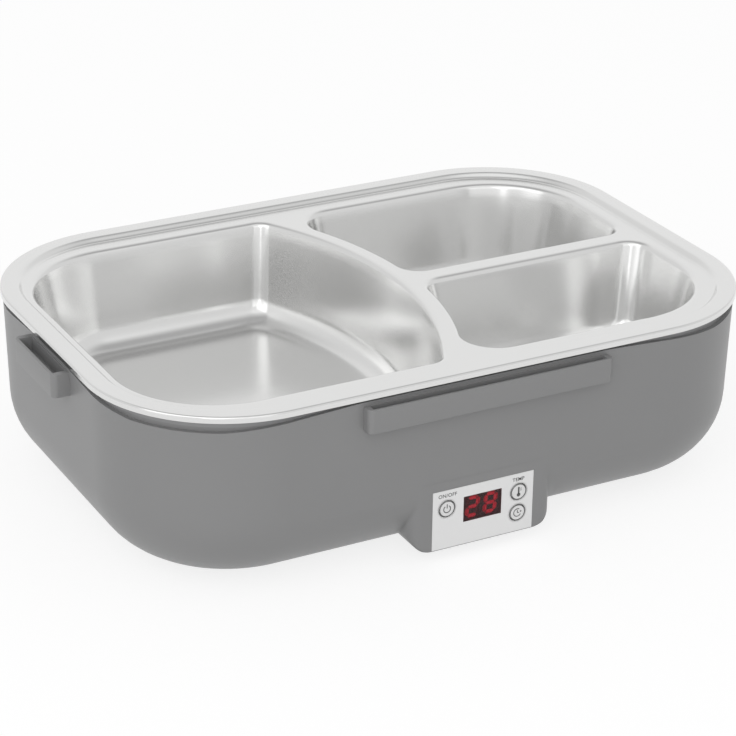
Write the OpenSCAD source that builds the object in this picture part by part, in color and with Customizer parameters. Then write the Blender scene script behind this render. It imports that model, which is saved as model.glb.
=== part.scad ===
// Electric lunch box: a steel food tray with three compartments, seated in a
// heated plastic casing with a small control panel at the foot of its front.
// Millimetres. Origin: centre of the footprint, on the surface it stands on.
// +Z is up and the control panel faces -Y.

/* [Casing] */
// Width of the casing at its rim
casing_w = 248.2; // [236:0.2:270]
// Depth of the casing at its rim
casing_d = 172.4; // [164:0.2:195]
// Radius of the casing's corners in plan
casing_corner_r = 50; // [46:0.5:58]
// Radius between the casing's walls and its underside
casing_fillet_r = 28; // [20:0.5:31]
// Lean of the casing's walls, in degrees
casing_draft = 1.3; // [0.5:0.1:2]
// Wall thickness of the casing
casing_wall = 2.8; // [2:0.1:3.4]
// Depth of the shallow dip in the rim at each corner
rim_dip = 3; // [1:0.1:4]
// Thickness of the rim's outer lip, outside the step that carries the liner
rim_lip_w = 1.5; // [1:0.1:1.7]

/* [Catch ledges] */
// Length of the front and back ledges, which a lid's catches hook under
long_ledge_l = 95; // [60:1:120]
// Length of the two side ledges
side_ledge_l = 36; // [20:1:60]
// Height of a ledge's outer face
ledge_h = 8.8; // [6:0.2:11]
// Distance that the front and back ledges stand out from the casing
long_ledge_reach = 4.2; // [3:0.1:8]
// Distance that the side ledges stand out from the casing
side_ledge_reach = 6.2; // [3:0.1:8]
// Thickness of a ledge's outer wall, in front of its hollow
ledge_wall = 1.2; // [0.8:0.1:1.6]
// Depth of the hollow in a ledge's top
ledge_hollow = 5.2; // [1:0.2:5.4]
// Distance from the casing's rim down to the ledges
ledge_drop = 1.5; // [1.5:0.1:4]
// Radius of a ledge's upright corners
ledge_corner_r = 2.2; // [0.8:0.1:2.6]

/* [Food tray] */
// Thickness of the tray's steel sheet
sheet = 0.7; // [0.5:0.1:0.9]
// Overhang of the tray's flange past the casing
flange_overhang = 0.9; // [0.5:0.1:2]
// Corner radius of the tray's flange
flange_corner_r = 51; // [48:0.5:58]
// Width of the raised flange, from its outer edge to the foot of its step
flange_w = 9.6; // [8.5:0.1:10]
// Height of the flange's crown above the shelf
flange_rise = 1.8; // [1:0.1:2.5]
// Height of the flange's rolled edge
lip_h = 2.3; // [1.8:0.1:2.8]
// Gap between the tray's rolled edge and the casing's rim
lip_gap = 1; // [0.4:0.1:1.4]
// Depth of the compartments below the shelf
tray_depth = 36.5; // [30:0.5:38]
// Lean of the compartments' walls, in degrees
pocket_draft = 12; // [6:0.5:14]
// Radius of the compartments' upper edge
pocket_edge_r = 1.6; // [1.2:0.1:2]
// Radius between a compartment's walls and its floor
pocket_fillet_r = 10.5; // [6:0.5:12]
// Distance from the flange's edge to the main compartment, on the left
margin_left = 11.6; // [11.6:0.1:16]
// Distance from the flange's edge to the side compartments, on the right
margin_right = 14.5; // [12:0.5:20]
// Distance from the flange's edge to the compartments, at front and back
margin_side = 16.6; // [14:0.2:20]
// Radius of the compartments' outermost corners
outer_corner_r = 36; // [30:0.5:40]
// Radius of the main compartment's corners at the divider
main_corner_r = 7; // [5:0.5:12]
// Radius of the side compartments' corners at the curved divider
side_corner_r = 12; // [8:0.5:16]
// Radius of the side compartments' corners at the short divider
short_corner_r = 8; // [6:0.5:12]
// Radius of the compartments' corners at floor level
floor_corner_r = 8; // [6:0.5:10]
// Place of the curved divider: its main wall's furthest point from the middle
divider_x = 10.2; // [0:0.2:20]
// Radius of the curved divider's main wall
divider_r = 135; // [120:1:180]
// Thickness of the curved divider between its two walls
divider_t = 8; // [6:0.5:12]
// Place of the short divider's middle, in front of the tray's middle
short_divider_y = -3; // [-10:0.5:10]
// Thickness of the short divider between its two walls
short_divider_t = 9.9; // [6:0.1:14]

/* [Liner and heater] */
// Wall thickness of the liner
liner_wall = 1.8; // [1.4:0.1:2.4]
// Distance from the tray flange's edge in to the liner's inner face
liner_margin = 9.2; // [8.6:0.1:9.8]
// Lean of the liner's walls, in degrees
liner_draft = 3; // [1:0.5:5]
// Radius between the liner's walls and its floor
liner_fillet_r = 12; // [8:0.5:15]
// Thickness of the heater plate
heater_plate_t = 2.2; // [1.5:0.1:3]
// Length of the heater plate
heater_plate_l = 130; // [110:1:150]
// Width of the heater plate
heater_plate_w = 84; // [60:1:90]
// Corner radius of the heater plate
heater_plate_r = 12; // [6:1:20]
// Gap between the heater plate and the tray above it
plate_gap = 0.3; // [0.2:0.1:0.8]
// Length of the heating element
element_l = 60; // [40:1:64]
// Width of the heating element
element_w = 22; // [16:1:26]
// Thickness of the heating element and of the parts clamped beside it
element_t = 6; // [5:0.5:8]
// Diameter of the thermostat's cap
thermostat_d = 15.6; // [12:0.2:17]
// Distance of the thermostat and of the thermal fuse from the middle
sensor_x = 46; // [44:1:50]
// Length of the thermal fuse's body
fuse_l = 14; // [10:1:20]
// Thickness of the clamp strip
clamp_t = 1.2; // [0.8:0.1:2]
// Width of the clamp strip
clamp_w = 12; // [8:1:14]

/* [Base] */
// Height that the feet stand out below the casing
foot_h = 2; // [1:0.1:4]
// Diameter of a foot
foot_d = 14; // [12:0.5:16]
// Distance of the feet from the middle, left and right
foot_x = 82; // [80:1:86]
// Distance of the feet from the middle, front and back
foot_y = 45; // [42:1:47]
// Length of the base cover
cover_l = 144; // [130:1:146]
// Width of the base cover
cover_w = 96; // [84:1:98]
// Thickness of the base cover
cover_t = 2.2; // [1.8:0.1:3]
// Corner radius of the base cover
cover_r = 10; // [6:1:14]
// Clearance round the base cover
cover_gap = 0.2; // [0.1:0.1:0.5]

/* [Power board] */
// Length of the power board
board_l = 62; // [52:1:70]
// Width of the power board
board_w = 56; // [50:1:64]
// Thickness of the power board
board_t = 1.6; // [1:0.1:2]
// Height of the posts that the power board stands on
board_post_h = 4; // [3:0.5:6]
// Height of the parts on the power board
board_part_h = 8.5; // [8:0.5:12]
// Room between the parts on the power board and the heater's clamp
board_room = 3.2; // [3:0.1:12]
// Diameter of the wires
wire_d = 1.8; // [1.2:0.1:2.2]
// Diameter of the cable between the two boards
cable_d = 2.4; // [1.6:0.1:2.6]

/* [Control panel] */
// Width of the panel's label
label_w = 40; // [38:0.5:44]
// Height of the panel's label
label_h = 22.4; // [21:0.2:23]
// Thickness of the label
label_t = 0.4; // [0.2:0.1:0.6]
// Height of the label's lower edge above the casing's underside
label_drop = 2; // [1.8:0.1:3]
// Diameter of a button's cap
button_d = 6; // [5:0.1:6.4]
// Travel of a button
button_travel = 0.4; // [0.2:0.05:0.45]
// Clearance round a button's cap
button_gap = 0.3; // [0.2:0.05:0.4]
// Width of the display
display_w = 15; // [12:0.2:16]
// Height of the display
display_h = 9.6; // [8:0.2:10.4]
// Height of a digit
digit_h = 7.6; // [5:0.2:8]

/* [Inlet socket] */
// Distance between the middles of the inlet's two pins
pin_pitch = 8.6; // [8:0.1:9]
// Diameter of the inlet's pins
pin_d = 2.4; // [2:0.1:2.6]
// Height of the inlet's opening
inlet_h = 8.9; // [8:0.1:9.4]
// Depth of the inlet's opening
inlet_depth = 11; // [9:0.5:12]

/* [Hidden] */
$fn = 96;
eps = 0.01;

steel_grey = [0.86, 0.86, 0.85];
plastic_grey = [0.52, 0.52, 0.53];
board_green = [0.1, 0.35, 0.2];

// Heights, from the base up: each piece stands on the one below it
base_z = foot_h;
board_z = base_z + cover_t + board_post_h;
board_top_z = board_z + board_t;
clamp_z = board_top_z + board_part_h + board_room;
element_z = clamp_z + clamp_t;
liner_floor_z = element_z + element_t;
liner_under_z = liner_floor_z - liner_wall;
plate_top_z = liner_floor_z + heater_plate_t;
tray_floor_z = plate_top_z + plate_gap + sheet;
shelf_z = tray_floor_z + tray_depth;
crown_z = shelf_z + flange_rise;
tray_seat_z = crown_z - sheet;
rim_z = crown_z - lip_gap - lip_h;

// Half sizes of the casing and the tray in plan
casing_hw = casing_w / 2;
casing_hd = casing_d / 2;
tray_hw = casing_hw + flange_overhang;
tray_hd = casing_hd + flange_overhang;

// ---------- shared shapes ----------

foot_steps = 14;

// Outline of a drafted wall from its rounded foot up to its rim, as points
// [distance out from the rim's outline, height], from the floor's flat part on.
function wall_line(top, bottom, r, draft) = let (
    centre = -(top - bottom - r) * tan(draft) - r / cos(draft))
    concat([for (i = [0:foot_steps]) let (a = (90 - draft) * i / foot_steps)
            [centre + r * sin(a), bottom + r * (1 - cos(a))]],
        [[0, top]]);

function reversed(list) = [for (i = [len(list) - 1:-1:0]) list[i]];
function moved_out(list, d) = [for (p = list) [p.x + d, p.y]];

// Sweeps a section round a rounded rectangle of half sizes hw and hd. The
// section's points are [distance out from that outline, height].
module swept_wall(hw, hd, r, section) {
    for (sx = [0, 1], sy = [0, 1]) mirror([sx, 0, 0]) mirror([0, sy, 0])
        translate([hw - r, hd - r, 0])
            rotate_extrude(angle = 90) polygon(moved_out(section, r));
    for (s = [0, 1]) {
        mirror([0, s, 0]) rotate([90, 0, 90]) linear_extrude(2 * (hw - r), center = true)
            polygon(moved_out(section, hd));
        mirror([s, 0, 0]) rotate([90, 0, 0]) linear_extrude(2 * (hd - r), center = true)
            polygon(moved_out(section, hw));
    }
}

// Rounded rectangle by half sizes and corner radius.
module rounded_rect(hw, hd, r) {
    square([2 * hw, 2 * (hd - r)], center = true);
    square([2 * (hw - r), 2 * hd], center = true);
    for (sx = [-1, 1], sy = [-1, 1]) translate([sx * (hw - r), sy * (hd - r)]) circle(r);
}

// Puts its children at the four points (x, y), (-x, y), (x, -y) and (-x, -y).
module at_four(x, y) {
    for (sx = [-1, 1], sy = [-1, 1]) translate([sx * x, sy * y, 0]) children();
}

// Screw with a pan head, standing on its head's underside and pointing up.
module screw_up(head_d, head_h, shank_d, shank_l) {
    difference() {
        translate([0, 0, -head_h]) cylinder(d = head_d, h = head_h);
        cross_slot(head_d, head_h);
    }
    cylinder(d = shank_d, h = shank_l);
}

// Cross recess in the outer face of a screw's head.
module cross_slot(head_d, head_h) {
    for (turn = [0, 90]) rotate(turn) translate([0, 0, -head_h])
        cube([head_d * 0.6, head_d * 0.16, head_h], center = true);
}

// Countersunk screw, its head's outer face at height 0, pointing up.
module countersunk_up(head_d, shank_d, length) {
    head_h = (head_d - shank_d) / 2;
    difference() {
        cylinder(d1 = head_d, d2 = shank_d, h = head_h);
        cross_slot(head_d, head_h);
    }
    cylinder(d = shank_d, h = length);
}

// Wire along straight legs, rounded where they meet.
module wire(points, d) {
    for (i = [0:len(points) - 2]) {
        leg = points[i + 1] - points[i];
        translate(points[i])
            rotate([0, acos(leg.z / norm(leg)), atan2(leg.y, leg.x)])
                cylinder(d = d, h = norm(leg), $fn = 48);
    }
    for (i = [1:len(points) - 2]) translate(points[i]) sphere(d = d + 0.2, $fn = 48);
}

// ---------- panel bosses ----------

// A boss at the foot of the front carries the control panel, and one like it
// at the back carries the inlet. Its face runs out in the wall above it.
boss_wall = 2.5;
boss_side_w = 8.4;
boss_half_w = label_w / 2 + boss_side_w;
boss_corner_r = boss_side_w;
boss_side_r = 5;
boss_proud = 0.05;
boss_bottom_z = base_z + label_drop - 0.2;
boss_top_z = max(base_z + casing_fillet_r, base_z + label_drop + label_h + 0.6);
boss_face_y = casing_hd - (rim_z - boss_top_z) * tan(casing_draft) + boss_proud;
boss_back_y = casing_hd - 24;

// Boss at the front, smaller all round by inset: what its outlines seen from
// the front and from above have in common.
module boss(inset) intersection() {
    translate([0, -boss_back_y, 0]) rotate([90, 0, 0])
        linear_extrude(boss_face_y - inset - boss_back_y) boss_front(inset);
    linear_extrude(boss_top_z + 1) boss_plan(inset);
}

// Front outline of the boss: rounded lower corners.
module boss_front(inset) {
    w = boss_half_w - inset;
    z = boss_bottom_z + inset;
    r = boss_corner_r - inset;
    translate([-w, z + r]) square([2 * w, boss_top_z - z - r]);
    translate([-w + r, z]) square([2 * (w - r), r + 1]);
    for (s = [-1, 1]) translate([s * (w - r), z + r]) circle(r);
}

// Outline of the boss from above: rounded front corners.
module boss_plan(inset) {
    w = boss_half_w - inset;
    face_y = -boss_face_y + inset;
    r = boss_side_r - inset;
    translate([-w, face_y + r]) square([2 * w, boss_face_y - inset - r - boss_back_y + 1]);
    translate([-w + r, face_y - 1]) square([2 * (w - r), r + 2]);
    for (s = [-1, 1]) translate([s * (w - r), face_y + r]) circle(r);
}

// ---------- outer casing ----------

inner_fillet_r = casing_fillet_r - casing_wall;
post_d = 9;
post_gap = 0.2;
liner_post_z = liner_under_z - 4;
liner_seat_t = 1.6;
cover_ledge_w = 4;
cover_ledge_t = 2;
cover_screw_x = cover_l / 2 - 6;
cover_screw_y = cover_w / 2 - 6;
foot_recess = 1.5;
foot_seat_d = foot_d + 0.4;
screw_d = 3;
clear_d = 3.4;
head_d = 5.6;

ledge_end_wall = 2.2;
ledge_back_wall = 0.4;

// One catch ledge along the x axis, against a wall at y = 0 and reaching to -y.
// It is hollow from above, so that its walls are no thicker than the casing's.
module ledge(length, reach) {
    translate([0, 0, rim_z - ledge_drop - ledge_h]) difference() {
        linear_extrude(ledge_h) {
            translate([-length / 2, -reach + ledge_corner_r])
                square([length, reach - ledge_corner_r + rim_lip_w / 2]);
            translate([-length / 2 + ledge_corner_r, -reach])
                square([length - 2 * ledge_corner_r, reach]);
            for (s = [-1, 1])
                translate([s * (length / 2 - ledge_corner_r), -reach + ledge_corner_r])
                    circle(ledge_corner_r);
        }
        translate([-length / 2 + ledge_end_wall, -reach + ledge_wall, ledge_h - ledge_hollow])
            cube([length - 2 * ledge_end_wall, reach - ledge_wall - ledge_back_wall, ledge_h]);
    }
}

module ledges() {
    for (turn = [0, 180]) {
        rotate(turn) translate([0, -casing_hd, 0]) ledge(long_ledge_l, long_ledge_reach);
        rotate(turn + 90) translate([0, -casing_hw, 0]) ledge(side_ledge_l, side_ledge_reach);
    }
}

// Shallow dips cut in the rim's outer lip, one across each corner.
dip_half_l = 54;
dip_flat_l = 16;

module rim_dips() difference() {
    for (turn = [45, 135, 225, 315])
        translate([sign(cos(turn)) * (casing_hw - casing_corner_r),
                   sign(sin(turn)) * (casing_hd - casing_corner_r), rim_z])
            rotate(turn) rotate([90, 0, 90]) linear_extrude(casing_corner_r + 10)
                polygon([[-dip_half_l, 1], [-dip_half_l, 0], [-dip_flat_l, -rim_dip],
                         [dip_flat_l, -rim_dip], [dip_half_l, 0], [dip_half_l, 1]]);
    translate([0, 0, rim_z - rim_dip - 1]) linear_extrude(rim_dip + 3)
        rounded_rect(casing_hw - rim_lip_w - 0.3, casing_hd - rim_lip_w - 0.3,
                     casing_corner_r - rim_lip_w - 0.3);
}

module outer_casing() color(plastic_grey) {
    difference() {
        union() {
            difference() {
                union() {
                    casing_wall_ring();
                    casing_floor();
                    boss(0);
                    rotate(180) boss(0);
                    ledges();
                }
                boss_cavity();
                rotate(180) boss_cavity();
            }
            casing_inside();
            panel_posts();
        }
        rim_dips();
        cover_opening();
        at_four(foot_x, foot_y) foot_holes();
        panel_openings();
        inlet_opening();
    }
}

// Wall of the casing with its foot and the step in its rim that the liner's
// flange sits in. The wall and the floor plate overlap inside the foot.
module casing_wall_ring() {
    outer = wall_line(rim_z, base_z, casing_fillet_r, casing_draft);
    inner = moved_out(wall_line(rim_z - liner_seat_t, base_z + casing_wall,
                                inner_fillet_r, casing_draft), -casing_wall);
    seat_z = rim_z - liner_seat_t;
    swept_wall(casing_hw, casing_hd, casing_corner_r, concat(
        [[-casing_corner_r + 6, base_z]], outer,
        [[-rim_lip_w, rim_z], [-rim_lip_w, seat_z]], reversed(inner),
        [[-casing_corner_r + 6, base_z + casing_wall]]));
}

module casing_floor() translate([0, 0, base_z]) linear_extrude(casing_wall)
    rounded_rect(casing_hw - casing_corner_r + 10, casing_hd - casing_corner_r + 10, 10);

// Space inside the boss at the front, open to the inside of the casing.
boss_cut_z = min(liner_under_z, base_z + label_drop + label_h) - boss_wall;

module boss_cavity() {
    boss_hollow();
    translate([-boss_half_w - 1, -casing_hd + casing_wall + 1.5, boss_cut_z])
        cube([2 * boss_half_w + 2, casing_hd - boss_back_y, boss_top_z - boss_cut_z + 1]);
}

// Inside of the boss, closed above the panel by the casing's own wall.
module boss_hollow() intersection() {
    boss(boss_wall);
    translate([0, -boss_back_y - 20, boss_cut_z / 2])
        cube([2 * boss_half_w, 60, boss_cut_z + 2], center = true);
}

// Posts and frame that stand up from the casing's floor.
module casing_inside() {
    frame_z = base_z + cover_t;
    translate([0, 0, frame_z]) linear_extrude(cover_ledge_t)
        rounded_rect(cover_l / 2 + 3, cover_w / 2 + 3, cover_r + 3);
    at_four(foot_x, foot_y) translate([0, 0, base_z + foot_recess])
        cylinder(d = post_d, h = liner_post_z - base_z - foot_recess - post_gap);
    at_four(cover_screw_x, cover_screw_y) translate([0, 0, frame_z])
        cylinder(d = 8, h = 9);
    for (s = [-1, 1]) translate([0, s * cover_screw_y, frame_z]) cylinder(d = 8, h = 9);
}

// Opening in the underside, with a ledge that the base cover seats against.
module cover_opening() {
    translate([0, 0, base_z - 1]) linear_extrude(cover_t + 1)
        rounded_rect(cover_l / 2 + cover_gap, cover_w / 2 + cover_gap, cover_r + cover_gap);
    difference() {
        translate([0, 0, base_z]) linear_extrude(cover_t + cover_ledge_t + 20)
            rounded_rect(cover_l / 2 - cover_ledge_w, cover_w / 2 - cover_ledge_w,
                         cover_r - cover_ledge_w);
        translate([0, 0, base_z + cover_t]) cover_screw_bosses();
    }
    at_four(cover_screw_x, cover_screw_y) cylinder(d = screw_d, h = base_z + cover_t + 8);
    for (s = [-1, 1])
        translate([0, s * cover_screw_y, 0])
            cylinder(d = screw_d, h = base_z + cover_t + 8);
}

// The six bosses that the base cover's screws bite into.
module cover_screw_bosses() {
    at_four(cover_screw_x, cover_screw_y) translate([0, 0, -1]) cylinder(d = 8, h = 40);
    for (s = [-1, 1]) translate([0, s * cover_screw_y, -1]) cylinder(d = 8, h = 40);
}

// Seat of a foot and the screw's way up through its post.
module foot_holes() {
    translate([0, 0, base_z - 1]) cylinder(d = foot_seat_d, h = foot_recess + 1);
    translate([0, 0, base_z]) cylinder(d = head_d + 0.6, h = foot_recess + 4);
    translate([0, 0, base_z]) cylinder(d = clear_d, h = liner_under_z);
}

// ---------- control panel ----------

panel_y = -boss_face_y;
label_z = base_z + label_drop;
panel_inner_y = panel_y + boss_wall;
display_x = -0.25;
display_z = label_z + 13.4;
button_places = [[-14.4, label_z + 15.3], [14.1, label_z + 15.3], [13.9, label_z + 7.2]];
window_t = 0.8;
board_y = panel_inner_y + 7.5;
control_board_t = 1.2;
tact_body_h = 3.5;
tact_plunger_h = 0.6;
control_posts = [[-14, label_z + 5], [3.5, label_z + 4.6]];
display_gap = 0.3;

// Puts its children at a place on the panel's face, their z axis pointing back.
module on_panel(x, z, y) translate([x, y, z]) rotate([-90, 0, 0]) children();

module panel_openings() {
    translate([-label_w / 2 - 0.1, panel_y - 1, label_z - 0.1])
        cube([label_w + 0.2, label_t + 1, label_h + 0.2]);
    for (place = button_places)
        on_panel(place.x, place.y, panel_y - 1)
            cylinder(d = button_d + 2 * button_gap, h = boss_wall + 2);
    translate([display_x - display_w / 2 - display_gap, panel_y - 1,
               display_z - display_h / 2 - display_gap])
        cube([display_w + 2 * display_gap, boss_wall + 2, display_h + 2 * display_gap]);
}

module control_label() color([0.86, 0.86, 0.86]) difference() {
    translate([-label_w / 2, panel_y, label_z]) cube([label_w, label_t, label_h]);
    for (place = button_places)
        on_panel(place.x, place.y, panel_y - 1)
            cylinder(d = button_d + 2 * button_gap, h = 3);
    translate([display_x - display_w / 2 - 0.05, panel_y - 1,
               display_z - display_h / 2 - 0.05])
        cube([display_w + 0.1, 3, display_h + 0.1]);
}

// A button: cap through the panel, a collar behind it, and a stem to the switch.
collar_t = 0.8;
button_proud = 0.15;
stem_gap = button_travel + 0.1;

module button(place) {
    stem_end_y = board_y - tact_body_h - tact_plunger_h - stem_gap;
    on_panel(place.x, place.y, panel_y - button_proud)
        cylinder(d = button_d, h = panel_inner_y - panel_y + button_proud + collar_t);
    on_panel(place.x, place.y, panel_inner_y) cylinder(d = button_d + 2, h = collar_t);
    on_panel(place.x, place.y, panel_inner_y) cylinder(d = 2.5, h = stem_end_y - panel_inner_y);
}

module power_button() color([0.78, 0.78, 0.78]) button(button_places[0]);
module temperature_button() color([0.78, 0.78, 0.78]) button(button_places[1]);
module timer_button() color([0.78, 0.78, 0.78]) button(button_places[2]);

module tact_switches() color([0.15, 0.15, 0.15])
    for (place = button_places) {
        translate([place.x - 3, board_y - tact_body_h, place.y - 3])
            cube([6, tact_body_h, 6]);
        on_panel(place.x, place.y, board_y - tact_body_h - tact_plunger_h)
            cylinder(d = 3.4, h = tact_plunger_h + 1);
    }

module control_board() color(board_green) difference() {
    translate([-19, board_y, label_z + 2.4]) cube([38, control_board_t, 18.6]);
    for (post = control_posts) on_panel(post.x, post.y, board_y - 1) cylinder(d = 2.4, h = 4);
}

module control_screws() color("silver")
    for (post = control_posts)
        translate([post.x, board_y + control_board_t, post.y]) rotate([90, 0, 0])
            screw_up(4, 1.4, 2, control_board_t + 3.5);

module display_module() color([0.08, 0.08, 0.08]) difference() {
    translate([display_x - display_w / 2, panel_y + window_t, display_z - display_h / 2])
        cube([display_w, board_y - panel_y - window_t, display_h]);
    digits(1);
}

module display_digits() color([0.7, 0.1, 0.15]) digits(0);

// Two seven-segment digits let into the display's face, proud of it by proud.
digit_w = digit_h * 0.56;
segment_w = digit_h * 0.13;
segment_t = 0.3;

module digits(proud)
    for (side = [-1, 1])
        translate([display_x + side * display_w * 0.24, panel_y + window_t + segment_t, display_z])
            rotate([90, 0, 0]) linear_extrude(segment_t + proud) digit_segments();

module digit_segments() {
    half = digit_h / 2;
    gap = segment_w * 0.18;
    upright_l = half - segment_w / 2 - 2 * gap;
    for (z = [-half + segment_w / 2, 0, half - segment_w / 2])
        translate([0, z]) square([digit_w - segment_w - 2 * gap, segment_w], center = true);
    for (sx = [-1, 1], sz = [-1, 1])
        translate([sx * (digit_w - segment_w) / 2, sz * (half - segment_w / 2) / 2])
            square([segment_w, upright_l - segment_w], center = true);
}

module display_window() color([0.2, 0.05, 0.05, 0.8])
    translate([display_x - display_w / 2, panel_y, display_z - display_h / 2])
        cube([display_w, window_t, display_h]);

// Posts behind the panel that the control board is screwed to.
module panel_posts() {
    for (post = control_posts)
        difference() {
            on_panel(post.x, post.y, panel_inner_y - 0.5)
                cylinder(d = 4.6, h = board_y - panel_inner_y + 0.5);
            on_panel(post.x, post.y, panel_inner_y + 0.5) cylinder(d = 2, h = 10);
        }
}

// ---------- inlet socket ----------

inlet_z = label_z + label_h / 2;
inlet_y = boss_face_y;
inlet_wall = 1.6;
inlet_flange_t = 1.2;
inlet_w = pin_pitch + inlet_h * 0.8;

// Outline with round ends, w long and h high, in the upright plane.
module round_ended(w, h) {
    square([w - h, h], center = true);
    for (s = [-1, 1]) translate([s * (w - h) / 2, 0]) circle(h / 2);
}

module inlet_opening()
    translate([0, inlet_y + 2, inlet_z]) rotate([90, 0, 0]) linear_extrude(boss_wall + 4)
        round_ended(inlet_w + 2 * inlet_wall + 0.2, inlet_h + 2 * inlet_wall + 0.2);

module inlet_socket() color([0.1, 0.1, 0.1])
    translate([0, inlet_y, inlet_z]) rotate([90, 0, 0]) difference() {
        union() {
            linear_extrude(inlet_depth + inlet_wall)
                round_ended(inlet_w + 2 * inlet_wall, inlet_h + 2 * inlet_wall);
            translate([0, 0, -inlet_flange_t]) linear_extrude(inlet_flange_t)
                round_ended(inlet_w + 2 * inlet_wall + 3, inlet_h + 2 * inlet_wall + 3);
        }
        translate([0, 0, -inlet_flange_t - 1]) linear_extrude(inlet_depth + inlet_flange_t + 1)
            round_ended(inlet_w, inlet_h);
        for (s = [-1, 1]) translate([s * pin_pitch / 2, 0, 0])
            cylinder(d = pin_d, h = inlet_depth + inlet_wall + 1);
    }

module inlet_pins() color("silver")
    for (s = [-1, 1])
        translate([s * pin_pitch / 2, inlet_y, inlet_z]) rotate([90, 0, 0]) {
            translate([0, 0, 1.5]) cylinder(d = pin_d, h = inlet_depth + inlet_wall + 3 - 1.5);
            translate([0, 0, 1.5]) sphere(d = pin_d);
        }

// ---------- inner liner ----------

step_w = 4;
roll_w = 3;
liner_boss_places = [[sensor_x + 14, 0], [-sensor_x - 14, 0]];
element_gap = 0.4;

module inner_liner() color([0.62, 0.62, 0.63]) difference() {
    union() {
        liner_wall_ring();
        translate([0, 0, liner_under_z]) linear_extrude(liner_wall)
            rounded_rect(tray_hw - flange_corner_r + 12, tray_hd - flange_corner_r + 12, 12);
        at_four(foot_x, foot_y) translate([0, 0, liner_post_z])
            cylinder(d = post_d, h = liner_under_z - liner_post_z + 0.5);
        for (place = liner_boss_places)
            translate([place.x, place.y, element_z])
                cylinder(d = 8, h = element_t - liner_wall + 0.5);
        at_four(plate_screw_x, plate_screw_y) translate([0, 0, liner_under_z - 1])
            cylinder(d = 7, h = 1.5);
    }
    at_four(foot_x, foot_y) translate([0, 0, liner_post_z - 1])
        cylinder(d = screw_d, h = liner_under_z - liner_post_z + 0.8);
    for (place = liner_boss_places)
        translate([place.x, place.y, element_z - 1]) cylinder(d = screw_d, h = element_t);
    at_four(plate_screw_x, plate_screw_y) translate([0, 0, liner_under_z - 5])
        cylinder(d = clear_d, h = 10);
    translate([0, 0, liner_under_z - 1]) linear_extrude(liner_wall + 2) {
        square([element_l + 2 * element_gap, element_w + 2 * element_gap], center = true);
        translate([sensor_x, 0]) square([element_t + 2 * element_gap, fuse_l + 6], center = true);
    }
    translate([-sensor_x, 0, liner_under_z - 1])
        cylinder(d = thermostat_d + 2 * element_gap, h = liner_wall + 2);
}

liner_top_z = shelf_z - sheet - 0.4;
flange_out = flange_overhang + rim_lip_w + 0.2;
seat_out = max(roll_w + 0.1, flange_out + 0.2);
seat_in = flange_w - step_w - 0.2;

// Wall of the liner, the flange that hangs it in the step of the casing's rim,
// and the upstand on that flange that carries the crown of the tray's flange.
module liner_wall_ring() {
    hang_z = rim_z - liner_seat_t;
    outer = moved_out(wall_line(hang_z, liner_under_z, liner_fillet_r + liner_wall, liner_draft),
                      liner_wall - liner_margin);
    inner = moved_out(wall_line(liner_top_z, liner_floor_z, liner_fillet_r, liner_draft),
                      -liner_margin);
    swept_wall(tray_hw, tray_hd, flange_corner_r, concat(
        [[-flange_corner_r + 8, liner_under_z]], outer,
        [[-flange_out, hang_z], [-flange_out, tray_seat_z - 0.4], [-seat_out, tray_seat_z],
         [-seat_in, tray_seat_z], [-seat_in, liner_top_z]], reversed(inner),
        [[-flange_corner_r + 8, liner_floor_z]]));
}

// ---------- food tray ----------

pocket_left_x = -tray_hw + margin_left;
pocket_right_x = tray_hw - margin_right;
pocket_y = tray_hd - margin_side;
short_back_y = short_divider_y + short_divider_t / 2;
short_front_y = short_divider_y - short_divider_t / 2;
divider_centre_x = divider_x - divider_r;
small_steps = 6;
large_steps = 11;
arc_steps = 14;

// Points of an arc from angle a to angle b in n steps.
function arc(centre, r, a, b, n) =
    [for (i = [0:n]) centre + r * [cos(a + (b - a) * i / n), sin(a + (b - a) * i / n)]];

// Corner radius left at an inset, never tighter than the corner at the floor.
function corner_at(r, inset) = max(r - inset, min(r, floor_corner_r));

// Outline of the main compartment, left of the curved divider, drawn in by inset.
function main_outline(inset) = let (
    left = pocket_left_x + inset,
    top = pocket_y - inset,
    wall_r = divider_r - inset,
    outer = corner_at(outer_corner_r, inset),
    inner = corner_at(main_corner_r, inset),
    centre_y = top - inner,
    centre_x = divider_centre_x + sqrt(pow(wall_r - inner, 2) - centre_y * centre_y),
    turn = atan2(centre_y, centre_x - divider_centre_x))
    concat(
        arc([centre_x, centre_y], inner, 90, turn, small_steps),
        [for (i = [1:arc_steps - 1]) let (a = turn - 2 * turn * i / arc_steps)
            [divider_centre_x + wall_r * cos(a), wall_r * sin(a)]],
        arc([centre_x, -centre_y], inner, -turn, -90, small_steps),
        arc([left + outer, -top + outer], outer, 270, 180, large_steps),
        arc([left + outer, top - outer], outer, 180, 90, large_steps));

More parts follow.
